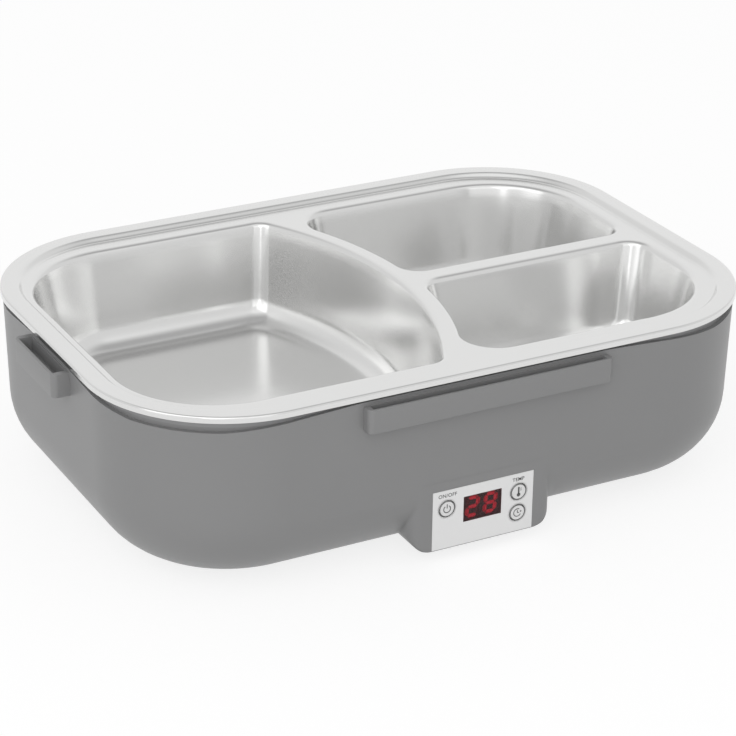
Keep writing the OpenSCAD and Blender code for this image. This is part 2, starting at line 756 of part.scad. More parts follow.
// Outline of a side compartment between the curved divider, the right wall and
// two lines along x: edge_y by the tray's rim and inner_y by the short divider.
// It is drawn as if it were the back one; the front one is its mirror image.
function side_outline(edge_y, inner_y, inset) = let (
    right = pocket_right_x - inset,
    top = edge_y - inset,
    bottom = inner_y + inset,
    wall_r = divider_r + divider_t + inset,
    outer = corner_at(outer_corner_r, inset),
    tip = corner_at(side_corner_r, inset),
    short = corner_at(short_corner_r, inset),
    tip_y = top - tip,
    tip_x = divider_centre_x + sqrt(pow(wall_r + tip, 2) - tip_y * tip_y),
    tip_turn = atan2(tip_y, tip_x - divider_centre_x),
    low_y = bottom + short,
    low_x = divider_centre_x + sqrt(pow(wall_r + short, 2) - low_y * low_y),
    low_turn = atan2(low_y, low_x - divider_centre_x))
    concat(
        arc([right - outer, top - outer], outer, 90, 0, large_steps),
        arc([right - short, bottom + short], short, 0, -90, small_steps),
        arc([low_x, low_y], short, 270, 180 + low_turn, small_steps),
        [for (i = [1:arc_steps / 2 - 1])
            let (a = low_turn + (tip_turn - low_turn) * i / (arc_steps / 2))
            [divider_centre_x + wall_r * cos(a), wall_r * sin(a)]],
        arc([tip_x, tip_y], tip, 180 + tip_turn, 90, small_steps));

// Wall section of a compartment as [inset, height] pairs from the top down;
// skin is 0 for the inside and the sheet's thickness for the outside.
function pocket_section(skin) = let (
    edge_r = pocket_edge_r - skin,
    foot_r = pocket_fillet_r + skin,
    floor_z = tray_floor_z - skin,
    top_z = shelf_z - skin,
    wall_top_z = top_z - edge_r * (1 - sin(pocket_draft)),
    edge_shift = pocket_edge_r - skin,
    foot_top_z = floor_z + foot_r * (1 - sin(pocket_draft)),
    wall_in = edge_r * cos(pocket_draft) - edge_shift,
    foot_in = wall_in + (wall_top_z - foot_top_z) * tan(pocket_draft))
    concat(
        [for (i = [0:4]) let (a = (90 - pocket_draft) * i / 4)
            [-edge_shift + edge_r * sin(a) - skin, top_z - edge_r * (1 - cos(a))]],
        [for (i = [0:7]) let (a = pocket_draft + (90 - pocket_draft) * i / 7)
            [foot_in - skin + foot_r * (cos(pocket_draft) - cos(a)),
             floor_z + foot_r * (1 - sin(a))]]);

// Closed solid through a stack of outlines that have as many points each.
module loft(rings, heights) {
    count = len(rings[0]);
    levels = len(rings);
    points = [for (k = [0:levels - 1]) for (p = rings[k]) [p.x, p.y, heights[k]]];
    sides = [for (k = [0:levels - 2]) for (i = [0:count - 1])
        let (j = (i + 1) % count)
        each [[k * count + i, (k + 1) * count + i, k * count + j],
              [k * count + j, (k + 1) * count + i, (k + 1) * count + j]]];
    top = [[for (i = [0:count - 1]) i]];
    bottom = [[for (i = [count - 1:-1:0]) (levels - 1) * count + i]];
    polyhedron(points, concat(sides, top, bottom), convexity = 6);
}

// One compartment's inside (skin 0) or outside (skin = sheet); kind 0 is the
// main one, 1 the back and 2 the front side compartment.
function pocket_ring(kind, inset) =
    kind == 0 ? main_outline(inset) :
    kind == 1 ? side_outline(pocket_y, short_back_y, inset) :
    side_outline(pocket_y, -short_front_y, inset);

module pocket(kind, skin) {
    section = pocket_section(skin);
    first = skin == 0 ? [section[0].x, shelf_z + 1] : [section[0].x, shelf_z - sheet / 2];
    levels = concat([first], section);
    mirror([0, kind == 2 ? 1 : 0, 0])
        loft([for (level = levels) pocket_ring(kind, level.x)],
             [for (level = levels) level.y]);
}

// Section of the flange from the shelf out: a smooth step up to the crown and a
// rolled edge. x is measured from the flange's outer edge.
step_parts = 6;

function step_height(t) = flange_rise * (1 - cos(180 * t)) / 2;

function flange_top() = concat(
    [[-flange_w - 3, shelf_z]],
    [for (i = [0:step_parts])
        [-flange_w + step_w * i / step_parts, shelf_z + step_height(i / step_parts)]],
    [for (i = [0:5]) let (a = 18 * i)
        [-roll_w + roll_w * sin(a), crown_z - (lip_h - 0.5) * (1 - cos(a))]],
    [[0, crown_z - lip_h]]);

function flange_under() = concat(
    [[-sheet, crown_z - lip_h]],
    [for (i = [4:-1:0]) let (a = 22.5 * i)
        [-roll_w + (roll_w - sheet) * sin(a),
         crown_z - sheet - (lip_h - 0.5 - sheet) * (1 - cos(a))]],
    [for (i = [step_parts:-1:0])
        [-flange_w + step_w * i / step_parts, shelf_z - sheet + step_height(i / step_parts)]],
    [[-flange_w - 3, shelf_z - sheet]]);

module food_tray() color(steel_grey) difference() {
    union() {
        swept_wall(tray_hw, tray_hd, flange_corner_r, concat(flange_top(), flange_under()));
        translate([0, 0, shelf_z - sheet]) linear_extrude(sheet)
            rounded_rect(tray_hw - flange_w - 1, tray_hd - flange_w - 1,
                         flange_corner_r - flange_w - 1);
        for (kind = [0:2]) pocket(kind, sheet);
    }
    for (kind = [0:2]) pocket(kind, 0);
}

// ---------- heater ----------

plate_screw_x = heater_plate_l / 2 - 7;
plate_screw_y = heater_plate_w / 2 - 7;

module heater_plate() color([0.75, 0.75, 0.76]) difference() {
    translate([0, 0, liner_floor_z]) linear_extrude(heater_plate_t)
        rounded_rect(heater_plate_l / 2, heater_plate_w / 2, heater_plate_r);
    at_four(plate_screw_x, plate_screw_y) translate([0, 0, liner_floor_z - 1])
        cylinder(d = screw_d, h = heater_plate_t + 0.4);
}

module heating_element() color([0.7, 0.7, 0.72]) difference() {
    translate([-element_l / 2, -element_w / 2, element_z]) cube([element_l, element_w, element_t]);
    for (s = [-1, 1]) translate([0, s * element_w / 2, element_z + element_t / 2])
        cube([element_l + 1, 2, 1.2], center = true);
}

module thermostat() color([0.8, 0.78, 0.7]) translate([-sensor_x, 0, element_z]) {
    translate([0, 0, 2.5]) cylinder(d = thermostat_d, h = element_t - 2.5);
    cylinder(d = thermostat_d - 2, h = 3);
    translate([0, 0, 1]) cube([5, thermostat_d + 9, 0.8], center = true);
}

module thermal_fuse() color([0.85, 0.85, 0.8]) translate([sensor_x, 0, element_z + element_t / 2])
    rotate([90, 0, 0]) {
        cylinder(d = element_t, h = fuse_l, center = true);
        cylinder(d = 1, h = fuse_l + 8, center = true);
    }

module heater_clamp() color([0.7, 0.7, 0.7]) difference() {
    translate([-sensor_x - 19, -clamp_w / 2, clamp_z])
        cube([2 * (sensor_x + 19), clamp_w, clamp_t]);
    for (place = liner_boss_places)
        translate([place.x, place.y, clamp_z - 1]) cylinder(d = clear_d, h = clamp_t + 2);
}

module clamp_screws() color("silver")
    for (place = liner_boss_places)
        translate([place.x, place.y, clamp_z])
            screw_up(head_d, 1.8, screw_d, clamp_t + element_t - 1.5);

module plate_screws() color("silver")
    at_four(plate_screw_x, plate_screw_y) translate([0, 0, liner_under_z - 1])
        screw_up(head_d, 1.8, screw_d, liner_wall + 1 + heater_plate_t - 0.8);

// ---------- base ----------

module liner_screws() color("silver")
    at_four(foot_x, foot_y) translate([0, 0, base_z + foot_recess + 4])
        screw_up(head_d, 2, screw_d, liner_under_z - base_z - foot_recess - 4 - 0.6);

module rubber_feet() color([0.15, 0.15, 0.15])
    at_four(foot_x, foot_y) {
        cylinder(d1 = foot_d - 1.6, d2 = foot_d, h = foot_h * 0.4);
        translate([0, 0, foot_h * 0.4]) cylinder(d = foot_d, h = foot_h * 0.6 + foot_recess);
    }

module base_cover() color([0.45, 0.45, 0.46]) difference() {
    union() {
        translate([0, 0, base_z]) linear_extrude(cover_t)
            rounded_rect(cover_l / 2, cover_w / 2, cover_r);
        for (place = board_posts) translate([place.x, place.y, base_z + cover_t - 0.5])
            cylinder(d = 6, h = board_z - base_z - cover_t + 0.5);
    }
    at_four(cover_screw_x, cover_screw_y) cover_screw_hole();
    for (s = [-1, 1]) translate([0, s * cover_screw_y, 0]) cover_screw_hole();
    for (place = board_posts) translate([place.x, place.y, base_z + 1])
        cylinder(d = 2.4, h = board_z);
    for (i = [-4:4]) translate([35 + i * 5, 0, base_z - 1]) linear_extrude(cover_t + 2)
        rotate(90) round_ended(34, 2.4);
}

module cover_screw_hole() {
    translate([0, 0, base_z - 1]) cylinder(d = clear_d, h = cover_t + 2);
    translate([0, 0, base_z - eps]) cylinder(d1 = head_d + 0.2, d2 = screw_d, h = 1.5);
}

module base_screws() color("silver") {
    at_four(cover_screw_x, cover_screw_y) translate([0, 0, base_z])
        countersunk_up(head_d, screw_d, cover_t + 7);
    for (s = [-1, 1]) translate([0, s * cover_screw_y, base_z])
        countersunk_up(head_d, screw_d, cover_t + 7);
}

// ---------- power board ----------

board_x = -34;
board_posts = [[board_x - board_l / 2 + 4, board_w / 2 - 4],
               [board_x + board_l / 2 - 4, board_w / 2 - 4],
               [board_x - board_l / 2 + 4, -board_w / 2 + 4],
               [board_x + board_l / 2 - 4, -board_w / 2 + 4]];

module power_board() color(board_green) difference() {
    translate([board_x - board_l / 2, -board_w / 2, board_z]) cube([board_l, board_w, board_t]);
    for (place = board_posts) translate([place.x, place.y, board_z - 1]) cylinder(d = 2.8, h = 4);
}

module board_screws() color("silver")
    for (place = board_posts) translate([place.x, place.y, board_top_z])
        mirror([0, 0, 1]) screw_up(5, 1.5, 2.4, board_t + 3);

relay_l = 19;
relay_w = 15;
capacitor_l = 15;
capacitor_w = 7;

module power_relay() color([0.1, 0.25, 0.5])
    translate([board_x - 20, -4, board_top_z]) cube([relay_l, relay_w, board_part_h]);

module filter_capacitor() color([0.8, 0.7, 0.15])
    translate([board_x + 6, -14, board_top_z]) cube([capacitor_l, capacitor_w, board_part_h]);

terminal_x = board_x - 12;
terminal_y = 13;
terminal_w = 9;
terminal_pitch = 5;
terminal_wire_h = 4.5;
wire_hole_d = 2.6;
wire_hole_l = 3;
function terminal(i) = terminal_pitch * (i + 0.5);

module terminal_block() color([0.2, 0.5, 0.25])
    translate([terminal_x, terminal_y, board_top_z]) difference() {
        cube([5 * terminal_pitch, terminal_w, board_part_h]);
        for (i = [0:4]) translate([terminal(i), terminal_w - wire_hole_l, terminal_wire_h])
            rotate([-90, 0, 0]) cylinder(d = wire_hole_d, h = wire_hole_l + 1);
        for (i = [0:4]) translate([terminal(i), 3.5, board_part_h - 2.5]) cylinder(d = 3, h = 4);
    }

// ---------- wiring ----------

terminal_z = board_top_z + terminal_wire_h;
wire_end_y = terminal_y + terminal_w - 1.5;
wire_turn_y = terminal_y + 14;
lead_pitch = 16;
lead_l = 4;

module mains_wires() color([0.6, 0.25, 0.15])
    for (i = [0, 1]) wire([
        [(i - 0.5) * pin_pitch, inlet_y - inlet_depth - inlet_wall - 3, inlet_z],
        [(i - 0.5) * pin_pitch, 62 - 7 * i, inlet_z],
        [terminal_x + terminal(i), 48 - 14 * i, terminal_z + 1],
        [terminal_x + terminal(i), wire_turn_y, terminal_z],
        [terminal_x + terminal(i), wire_end_y, terminal_z]], wire_d);

module heater_wires() color([0.8, 0.8, 0.78])
    for (i = [0, 1]) wire([
        [lead_pitch * (i - 0.5), element_w / 2, element_z + 1.6],
        [lead_pitch * (i - 0.5), element_w / 2 + lead_l, element_z + 1.6],
        [terminal_x + terminal(3 + i), wire_turn_y + 4 * i, terminal_z + 3],
        [terminal_x + terminal(3 + i), wire_turn_y - 3 + i, terminal_z],
        [terminal_x + terminal(3 + i), wire_end_y, terminal_z]], wire_d);

module signal_cable() color([0.75, 0.75, 0.78])
    wire([[-10.5, board_y + control_board_t + 0.5, label_z + 13.6],
          [-12, board_y + 8, label_z + 12],
          [-18, -46, board_top_z + 4],
          [board_x + 10, 8 - board_w / 2, board_top_z + cable_d / 2 + 0.1]], cable_d);

outer_casing();
inner_liner();
food_tray();
heater_plate();
heating_element();
thermostat();
thermal_fuse();
heater_clamp();
clamp_screws();
plate_screws();
liner_screws();
rubber_feet();
base_cover();
base_screws();
power_board();
power_relay();
filter_capacitor();
terminal_block();
board_screws();
control_board();
control_screws();
tact_switches();
display_module();
display_digits();
display_window();
control_label();
power_button();
temperature_button();
timer_button();
inlet_socket();
inlet_pins();
mains_wires();
heater_wires();
signal_cable();
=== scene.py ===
import math

import bmesh
import bpy
from mathutils import Matrix, Vector


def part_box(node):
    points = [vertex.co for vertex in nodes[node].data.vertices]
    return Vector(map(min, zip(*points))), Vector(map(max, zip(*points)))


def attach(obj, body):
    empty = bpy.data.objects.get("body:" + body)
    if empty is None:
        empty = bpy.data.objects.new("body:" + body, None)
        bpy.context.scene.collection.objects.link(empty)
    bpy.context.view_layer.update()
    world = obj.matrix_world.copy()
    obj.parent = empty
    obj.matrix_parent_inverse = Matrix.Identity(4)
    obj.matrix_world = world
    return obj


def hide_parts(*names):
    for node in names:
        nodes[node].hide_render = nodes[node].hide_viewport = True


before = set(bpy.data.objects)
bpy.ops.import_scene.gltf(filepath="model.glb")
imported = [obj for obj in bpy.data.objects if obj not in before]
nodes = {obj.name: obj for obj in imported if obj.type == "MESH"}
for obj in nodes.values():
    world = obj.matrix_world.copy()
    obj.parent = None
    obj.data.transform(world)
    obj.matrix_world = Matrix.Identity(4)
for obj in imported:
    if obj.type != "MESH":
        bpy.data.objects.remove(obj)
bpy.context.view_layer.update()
mm = 0.001


def addObject(name, data):
    thing = bpy.data.objects.new(name, data)
    bpy.context.scene.collection.objects.link(thing)
    return thing


def mathNode(nt, operation, *values):
    # each value is another node's output or a plain number
    node = nt.nodes.new("ShaderNodeMath")
    node.operation = operation
    for socket, value in zip(node.inputs, values):
        if isinstance(value, bpy.types.NodeSocket):
            nt.links.new(value, socket)
        else:
            socket.default_value = value
    return node.outputs[0]


def fadeBetween(nt, value, limits, kind="LINEAR"):
    # 0 at the first limit and beyond it, 1 at the second
    node = nt.nodes.new("ShaderNodeMapRange")
    node.interpolation_type = kind
    node.inputs["From Min"].default_value, node.inputs["From Max"].default_value = limits
    nt.links.new(value, node.inputs["Value"])
    return node.outputs["Result"]


cameraSet = {
    "place": (-0.4049, -0.7550, 0.4294),  # metres, as in lightSet
    "right": (0.88632, -0.46298, 0.00918),
    "up": (0.18848, 0.37878, 0.90609),
    "lens": 125.1,
    "shift": (0.0212, 0.0151),
}
lightSet = {
    "ambient": 0.5,  # strength of the world where it lights the object
    "keyPower": 9.4,
    "keyPlace": (-1.5, -0.9, 1.15),
    "keySize": 2.2,
    "fillPower": 6.2,
    "fillPlace": (-0.55, -1.85, 0.7),
    "fillSize": 1.8,
    "aim": (0, 0, 0.03),  # what both lamps face
    "floorGlow": 0.8,  # part of the floor's white that shadows don't darken
    "floorLit": 0.31,
    # what reflections see from the back horizon (0) over the ceiling to the front one (1)
    "sweep": ((0.0, 1.0), (0.24, 1.0), (0.33, 0.78), (0.42, 0.52), (0.5, 0.5), (0.57, 0.8),
              (0.62, 1.12), (0.7, 1.0), (0.78, 0.8), (0.84, 0.6), (0.92, 0.45)),
    "sweepBack": (0.467, 0.884, 0.0),  # away from the camera
    "sweepSide": (0.884, -0.467, 0.0),
    "sideFrom": (0.4, 0.75),  # how far aside the plain walls of the studio take over
    "sideTone": 0.88,
}


def makeCamera():
    right = Vector(cameraSet["right"]).normalized()
    up = Vector(cameraSet["up"]).normalized()
    back = right.cross(up).normalized()
    up = back.cross(right)
    data = bpy.data.cameras.new("mainCamera")
    data.sensor_width = 36
    data.lens = cameraSet["lens"]
    data.shift_x, data.shift_y = cameraSet["shift"]
    data.clip_start, data.clip_end = 0.05, 20
    camera = addObject("mainCamera", data)
    turn = Matrix((right, up, back)).transposed().to_4x4()
    camera.matrix_world = Matrix.Translation(cameraSet["place"]) @ turn
    bpy.context.scene.camera = camera


def makeSoftbox(name, place, size, power):
    data = bpy.data.lights.new(name, "AREA")
    data.shape = "SQUARE"
    data.size = size
    data.energy = power
    lamp = addObject(name, data)
    lamp.location = place
    lamp.rotation_mode = "QUATERNION"
    reach = Vector(lightSet["aim"]) - Vector(place)
    lamp.rotation_quaternion = reach.to_track_quat("-Z", "Y")


def seenDirectly(nt):
    # 1 for camera, glossy and transmission rays
    rays = nt.nodes.new("ShaderNodeLightPath")
    seen = mathNode(nt, "MAXIMUM", rays.outputs["Is Camera Ray"], rays.outputs["Is Glossy Ray"])
    return mathNode(nt, "MAXIMUM", seen, rays.outputs["Is Transmission Ray"])


def shareAlong(nt, direction, axis):
    # how far a direction points along an axis
    node = nt.nodes.new("ShaderNodeVectorMath")
    node.operation = "DOT_PRODUCT"
    node.inputs[1].default_value = axis
    nt.links.new(direction, node.inputs[0])
    return node.outputs["Value"]


def sweepStrength(nt):
    # angle of a direction over the object, from the back horizon to the front one
    direction = nt.nodes.new("ShaderNodeTexCoord").outputs["Generated"]
    parts = nt.nodes.new("ShaderNodeSeparateXYZ")
    nt.links.new(direction, parts.inputs[0])
    angle = mathNode(nt, "ARCTAN2", parts.outputs["Z"],
                     shareAlong(nt, direction, lightSet["sweepBack"]))
    share = mathNode(nt, "DIVIDE", angle, math.pi)
    share.node.use_clamp = True
    ramp = nt.nodes.new("ShaderNodeValToRGB")
    brightest = max(value for _, value in lightSet["sweep"])
    while len(ramp.color_ramp.elements) < len(lightSet["sweep"]):
        ramp.color_ramp.elements.new(0.5)
    for stop, (place, value) in zip(ramp.color_ramp.elements, lightSet["sweep"]):
        stop.position = place
        stop.color = (*[value / brightest] * 3, 1)
    nt.links.new(share, ramp.inputs["Fac"])
    # towards the studio's sides the sweep gives way to plain walls
    aside = mathNode(nt, "ABSOLUTE", shareAlong(nt, direction, lightSet["sweepSide"]))
    mixed = nt.nodes.new("ShaderNodeMix")
    mixed.inputs["B"].default_value = lightSet["sideTone"]
    nt.links.new(mathNode(nt, "MULTIPLY", ramp.outputs["Color"], brightest), mixed.inputs["A"])
    nt.links.new(fadeBetween(nt, aside, lightSet["sideFrom"], "SMOOTHSTEP"),
                 mixed.inputs["Factor"])
    return mixed.outputs["Result"]


def makeWorld():
    world = bpy.data.worlds.new("studio")
    bpy.context.scene.world = world
    world.use_nodes = True
    nt = world.node_tree
    nt.nodes.clear()
    ambient = nt.nodes.new("ShaderNodeBackground")
    ambient.inputs["Strength"].default_value = lightSet["ambient"]
    white = nt.nodes.new("ShaderNodeBackground")
    for background in (ambient, white):
        background.inputs["Color"].default_value = (1, 1, 1, 1)
    nt.links.new(sweepStrength(nt), white.inputs["Strength"])
    mix = nt.nodes.new("ShaderNodeMixShader")
    out = nt.nodes.new("ShaderNodeOutputWorld")
    nt.links.new(seenDirectly(nt), mix.inputs["Fac"])
    nt.links.new(ambient.outputs[0], mix.inputs[1])
    nt.links.new(white.outputs[0], mix.inputs[2])
    nt.links.new(mix.outputs[0], out.inputs["Surface"])


makeCamera()
makeWorld()
makeSoftbox("keySoftbox", lightSet["keyPlace"], lightSet["keySize"], lightSet["keyPower"])
makeSoftbox("fillSoftbox", lightSet["fillPlace"], lightSet["fillSize"], lightSet["fillPower"])
bpy.context.scene.view_settings.view_transform = "Standard"
print("camera and light: done")


def makeGroup(name, inputs, outputs):
    group = bpy.data.node_groups.new(name, "ShaderNodeTree")
    for label, kind, value in inputs:
        socket = group.interface.new_socket(label, in_out="INPUT", socket_type=kind)
        if value is not None:
            socket.default_value = value
    for label, kind in outputs:
        group.interface.new_socket(label, in_out="OUTPUT", socket_type=kind)
    return group, group.nodes.new("NodeGroupInput"), group.nodes.new("NodeGroupOutput")


fineGrain, grainIn, grainOut = makeGroup(
    "fineGrain",
    [("Coarse Scale", "NodeSocketFloat", 40.0), ("Fine Scale", "NodeSocketFloat", 900.0),
     ("Tone", "NodeSocketColor", (0.5, 0.5, 0.5, 1)), ("Tone Spread", "NodeSocketFloat", 0.04),
     ("Roughness", "NodeSocketFloat", 0.4), ("Roughness Spread", "NodeSocketFloat", 0.06)],
    [("Color", "NodeSocketColor"), ("Roughness", "NodeSocketFloat"), ("Height", "NodeSocketFloat")])


def fillFineGrain():
    nt = fineGrain
    place = nt.nodes.new("ShaderNodeTexCoord")
    noises = {}
    for label, detail in (("Coarse Scale", 3), ("Fine Scale", 2)):
        noise = nt.nodes.new("ShaderNodeTexNoise")
        noise.inputs["Detail"].default_value = detail
        nt.links.new(place.outputs["Object"], noise.inputs["Vector"])
        nt.links.new(grainIn.outputs[label], noise.inputs["Scale"])
        noises[label] = noise.outputs["Fac"]
    centred = mathNode(nt, "SUBTRACT", noises["Coarse Scale"], 0.5)
    tone = mathNode(nt, "MULTIPLY_ADD", centred, grainIn.outputs["Tone Spread"], 1)
    scaled = nt.nodes.new("ShaderNodeVectorMath")
    scaled.operation = "SCALE"
    nt.links.new(grainIn.outputs["Tone"], scaled.inputs[0])
    nt.links.new(tone, scaled.inputs["Scale"])
    rough = mathNode(nt, "MULTIPLY_ADD", centred, grainIn.outputs["Roughness Spread"],
                     grainIn.outputs["Roughness"])
    for label, source in (("Color", scaled.outputs["Vector"]), ("Roughness", rough),
                          ("Height", noises["Fine Scale"])):
        nt.links.new(source, grainOut.inputs[label])


fillFineGrain()


def makeMaterial(name, tone, roughness, metallic=0.0, toneSpread=0.05, roughSpread=0.08,
                 coarse=40.0, fine=900.0, bump=0.02, **sockets):
    mat = bpy.data.materials.new(name)
    mat.use_nodes = True
    nt = mat.node_tree
    shader = nt.nodes["Principled BSDF"]
    shader.inputs["Metallic"].default_value = metallic
    for label, value in sockets.items():
        shader.inputs[label.replace("_", " ")].default_value = value
    grain = nt.nodes.new("ShaderNodeGroup")
    grain.node_tree = fineGrain
    for label, value in (("Tone", (*tone, 1)), ("Tone Spread", toneSpread),
                         ("Roughness", roughness), ("Roughness Spread", roughSpread),
                         ("Coarse Scale", coarse), ("Fine Scale", fine)):
        grain.inputs[label].default_value = value
    nt.links.new(grain.outputs["Color"], shader.inputs["Base Color"])
    nt.links.new(grain.outputs["Roughness"], shader.inputs["Roughness"])
    if bump:
        relief = nt.nodes.new("ShaderNodeBump")
        relief.inputs["Strength"].default_value = bump
        relief.inputs["Distance"].default_value = 0.0005
        nt.links.new(grain.outputs["Height"], relief.inputs["Height"])
        nt.links.new(relief.outputs["Normal"], shader.inputs["Normal"])
    return mat


looks = {
    "casingPlastic": {"tone": (0.3, 0.3, 0.302), "roughness": 0.4, "bump": 0.03},
    "linerPlastic": {"tone": (0.36, 0.36, 0.365), "roughness": 0.45},
    "satinSteel": {"tone": (0.73, 0.73, 0.725), "roughness": 0.19, "metallic": 1.0,
                   "toneSpread": 0.03, "roughSpread": 0.06, "coarse": 25.0, "fine": 1500.0,
                   "bump": 0.01},
    "heaterMetal": {"tone": (0.62, 0.63, 0.64), "roughness": 0.42, "metallic": 1.0, "bump": 0.06},
    "whiteCeramic": {"tone": (0.75, 0.72, 0.66), "roughness": 0.35},
    "platedSteel": {"tone": (0.62, 0.61, 0.6), "roughness": 0.28, "metallic": 1.0},
    "footRubber": {"tone": (0.025, 0.025, 0.026), "roughness": 0.72, "bump": 0.08},
    "greenBoard": {"tone": (0.02, 0.13, 0.05), "roughness": 0.3},
    "blueRelay": {"tone": (0.02, 0.08, 0.32), "roughness": 0.4},
    "yellowCase": {"tone": (0.72, 0.48, 0.03), "roughness": 0.35},
    "greenTerminal": {"tone": (0.03, 0.22, 0.06), "roughness": 0.45},
    "blackPlastic": {"tone": (0.018, 0.018, 0.019), "roughness": 0.4},
    "labelFilm": {"tone": (0.84, 0.84, 0.84), "roughness": 0.4, "metallic": 0.5,
                  "toneSpread": 0.02, "bump": 0.01},
    "buttonFilm": {"tone": (0.8, 0.8, 0.8), "roughness": 0.42, "metallic": 0.5,
                   "toneSpread": 0.02, "bump": 0.01},
    "printGrey": {"tone": (0.11, 0.11, 0.11), "roughness": 0.5, "bump": 0},
    "brownSleeve": {"tone": (0.16, 0.06, 0.025), "roughness": 0.5},
    "whiteSleeve": {"tone": (0.7, 0.7, 0.66), "roughness": 0.5},
    "litSegment": {"tone": (0.55, 0.01, 0.025), "roughness": 0.4, "bump": 0,
                   "Emission_Color": (0.9, 0.02, 0.05, 1), "Emission_Strength": 0.5},
    "darkSegment": {"tone": (0.16, 0.01, 0.015), "roughness": 0.4, "bump": 0},
    "smokedGlass": {"tone": (0.085, 0.012, 0.016), "roughness": 0.12, "toneSpread": 0.02,
                    "roughSpread": 0.02, "bump": 0, "Alpha": 0.45},
}
finishes = {name: makeMaterial(name, **look) for name, look in looks.items()}

# each pair is where the blends begin to show and where they are whole, in metres
blends = {
    "radius": 0.005, "samples": 8,
    "sideStart": (0.0225, 0.027), "sideEnd": (0.046, 0.04), "wall": (0.055, 0.06),
    "over": (0.0275, 0.0295), "top": (0.044, 0.034),
}


def softenBlends(mat):
    # the moulding's soft inner corners beside both bosses and above them
    nt = mat.node_tree
    place = nt.nodes.new("ShaderNodeTexCoord")
    parts = nt.nodes.new("ShaderNodeSeparateXYZ")
    nt.links.new(place.outputs["Object"], parts.inputs[0])
    aside, outwards = [mathNode(nt, "ABSOLUTE", parts.outputs[axis]) for axis in "XY"]
    height = parts.outputs["Z"]
    reach = mathNode(nt, "MAXIMUM", fadeBetween(nt, aside, blends["sideStart"]),
                     fadeBetween(nt, height, blends["over"]))
    for value, limits in ((aside, "sideEnd"), (outwards, "wall"), (height, "top")):
        reach = mathNode(nt, "MULTIPLY", reach, fadeBetween(nt, value, blends[limits]))
    blend = nt.nodes.new("ShaderNodeBevel")
    blend.samples = blends["samples"]
    nt.links.new(mathNode(nt, "MULTIPLY", reach, blends["radius"]), blend.inputs["Radius"])
    relief = next(node for node in nt.nodes if node.type == "BUMP")
    nt.links.new(blend.outputs["Normal"], relief.inputs["Normal"])


softenBlends(finishes["casingPlastic"])


def makeFloor():
    # white paper that stays white where the camera or a reflection sees it
    mat = bpy.data.materials.new("paperFloor")
    mat.use_nodes = True
    nt = mat.node_tree
    nt.nodes.clear()
    lit = nt.nodes.new("ShaderNodeBsdfDiffuse")
    lit.inputs["Color"].default_value = (0.85, 0.85, 0.85, 1)
    dim = nt.nodes.new("ShaderNodeBsdfDiffuse")
    dim.inputs["Color"].default_value = (*[lightSet["floorLit"]] * 3, 1)
    glow = nt.nodes.new("ShaderNodeEmission")
    glow.inputs["Strength"].default_value = lightSet["floorGlow"]
    shown = nt.nodes.new("ShaderNodeAddShader")
    nt.links.new(dim.outputs[0], shown.inputs[0])
    nt.links.new(glow.outputs[0], shown.inputs[1])
    mix = nt.nodes.new("ShaderNodeMixShader")
    out = nt.nodes.new("ShaderNodeOutputMaterial")
    nt.links.new(seenDirectly(nt), mix.inputs["Fac"])
    nt.links.new(lit.outputs[0], mix.inputs[1])
    nt.links.new(shown.outputs[0], mix.inputs[2])
    nt.links.new(mix.outputs[0], out.inputs["Surface"])
    size = 6  # metres from its middle to a side
    mesh = bpy.data.meshes.new("paperFloor")
    mesh.from_pydata([(-size, -size, 0), (size, -size, 0), (size, size, 0), (-size, size, 0)], [],
                     [(0, 1, 2, 3)])
    mesh.materials.append(mat)
    floor = addObject("paperFloor", mesh)
    floor.location.z = -0.0002  # just clear of the feet


makeFloor()
print("materials: done")


def newPiece(name, verts, faces, material):
    mesh = bpy.data.meshes.new(name)
    mesh.from_pydata([tuple(v) for v in verts], [], faces)
    mesh.materials.append(material)
    mesh.validate()
    return addObject(name, mesh)


def smoothPiece(piece, sharpFrom):
    # shades smoothly, except over edges that turn by more than sharpFrom degrees
    mesh = piece.data
    mesh.polygons.foreach_set("use_smooth", [True] * len(mesh.polygons))
    mesh.set_sharp_from_angle(angle=math.radians(sharpFrom))


def arcPoints(cx, cy, r, start, end, steps):
    return [(cx + r * math.cos(math.radians(start + (end - start) * i / steps)),
             cy + r * math.sin(math.radians(start + (end - start) * i / steps)))
            for i in range(steps + 1)]


def roundedOutline(hx, hy, r, steps=40, longest=3.0):
    points = []
    for cx, cy, start in ((hx - r, hy - r, 0), (r - hx, hy - r, 90), (r - hx, r - hy, 180),
                          (hx - r, r - hy, 270)):
        points += arcPoints(cx, cy, r, start, start + 90, steps)
    return spreadSides(points, longest)


def spreadSides(points, longest):
    out = []
    for i, a in enumerate(points):
        b = points[(i + 1) % len(points)]
        out.append(a)
        parts = int(math.dist(a, b) / longest)
        out += [(a[0] + (b[0] - a[0]) * k / (parts + 1), a[1] + (b[1] - a[1]) * k / (parts + 1))
                for k in range(1, parts + 1)]
    return out


class sheetBuilder:
    # rings of points in millimetres, joined by faces
    def __init__(self):
        self.bm = bmesh.new()

    def ring(self, outline, z):
        return [self.bm.verts.new((x * mm, y * mm, z * mm)) for x, y in outline]

    def join(self, a, b):
        n = len(a)
        for i in range(n):
            j = (i + 1) % n
            self.bm.faces.new((a[i], a[j], b[j], b[i]))

    def fill(self, *loops):
        edges = []
        for loop in loops:
            for i, v in enumerate(loop):
                w = loop[(i + 1) % len(loop)]
                edges.append(self.bm.edges.get((v, w)) or self.bm.edges.new((v, w)))
        bmesh.ops.triangle_fill(self.bm, edges=edges, use_beauty=True, normal=(0, 0, 1))

    def finish(self, name, material):
        bmesh.ops.recalc_face_normals(self.bm, faces=self.bm.faces)
        mesh = bpy.data.meshes.new(name)
        self.bm.to_mesh(mesh)
        self.bm.free()
        mesh.materials.append(material)
        return addObject(name, mesh)


